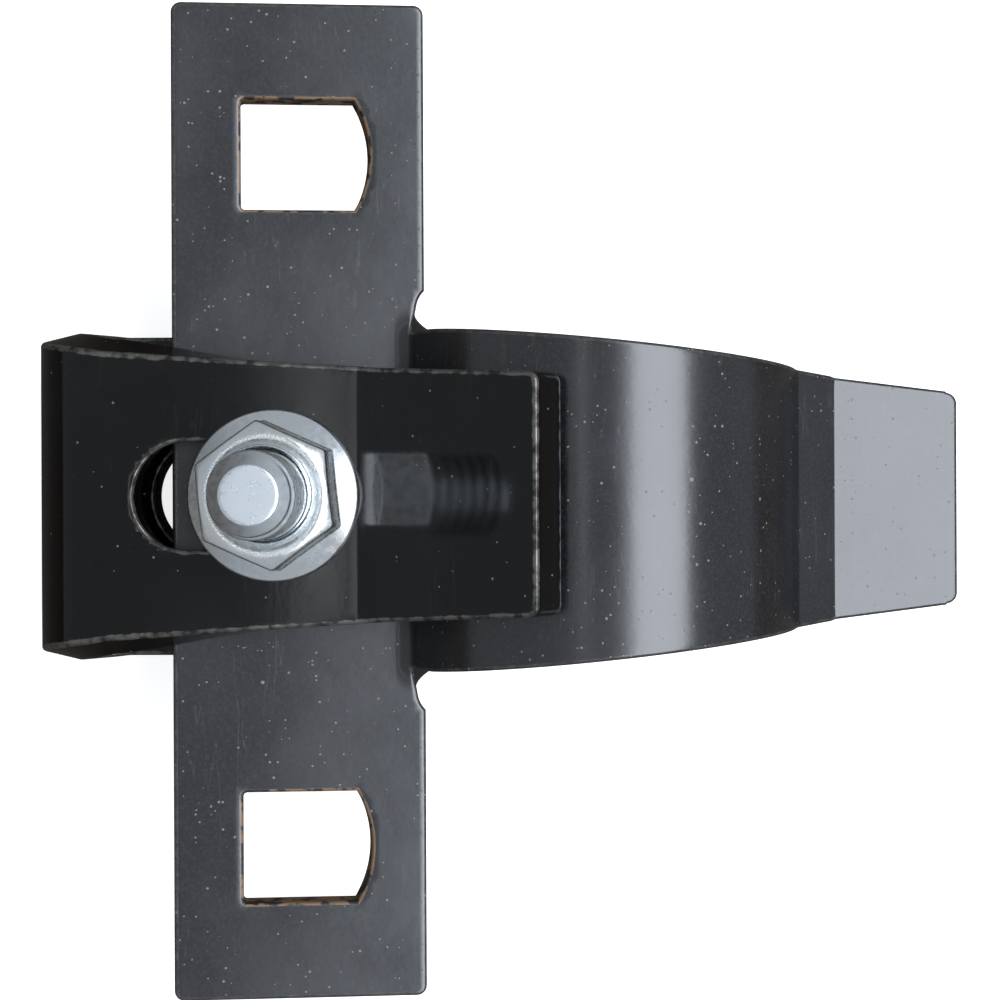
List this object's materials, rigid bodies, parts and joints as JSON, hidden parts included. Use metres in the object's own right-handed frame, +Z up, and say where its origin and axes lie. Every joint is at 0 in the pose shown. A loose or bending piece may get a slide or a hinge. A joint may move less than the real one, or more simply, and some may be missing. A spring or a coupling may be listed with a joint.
{
  "type": "trailer coupler lock",
  "caption": "T-shaped steel latch strap with an arched tongue and two D-shaped holes, gripped by a folded, slotted clamp jaw on a flange bolt and flange nut",
  "frame": {"origin": "midway between the two D-shaped holes, on the underside of the crossbar", "axes": "X along the tongue towards the tab, Y along the crossbar, Z up through the plates towards the nut"},
  "size_m": [0.1409, 0.1504, 0.0614],
  "materials": {
    "black_paint_strap": "semi-gloss black enamel with dust specks",
    "black_paint_jaw": "glossy black enamel, chipped along its edges",
    "zinc_bolt": "bright zinc plate",
    "zinc_nut": "bright zinc plate"
  },
  "bodies": {
    "strap": {"latch_strap": "black_paint_strap"},
    "jaw": {"clamp_jaw": "black_paint_jaw"},
    "bolt": {"flange_bolt": "zinc_bolt"},
    "nut": {"flange_nut": "zinc_nut"}
  },
  "joints": [
    {"name": "jaw_slide", "type": "slide", "parent": "strap", "child": "jaw", "axis": [-0.9877, 0, -0.1564], "range_m": [0, 0.004]},
    {"name": "bolt_turn", "type": "hinge", "parent": "strap", "child": "bolt", "pos_m": [-0.00307, 0.0008, 0.00903], "axis": [0.1564, 0, -0.9877], "range_deg": [0, 2160]},
    {"name": "nut_travel", "type": "slide", "parent": "strap", "child": "nut", "axis": [-0.1564, 0, 0.9877], "range_m": [0, 0.01173]}
  ],
  "couplings": [
    {"joint": "bolt_turn", "follows": "nut_travel", "rad_per_m": 3215.8},
    {"joint": "jaw_slide", "follows": "nut_travel", "ratio": 0.341}
  ]
}
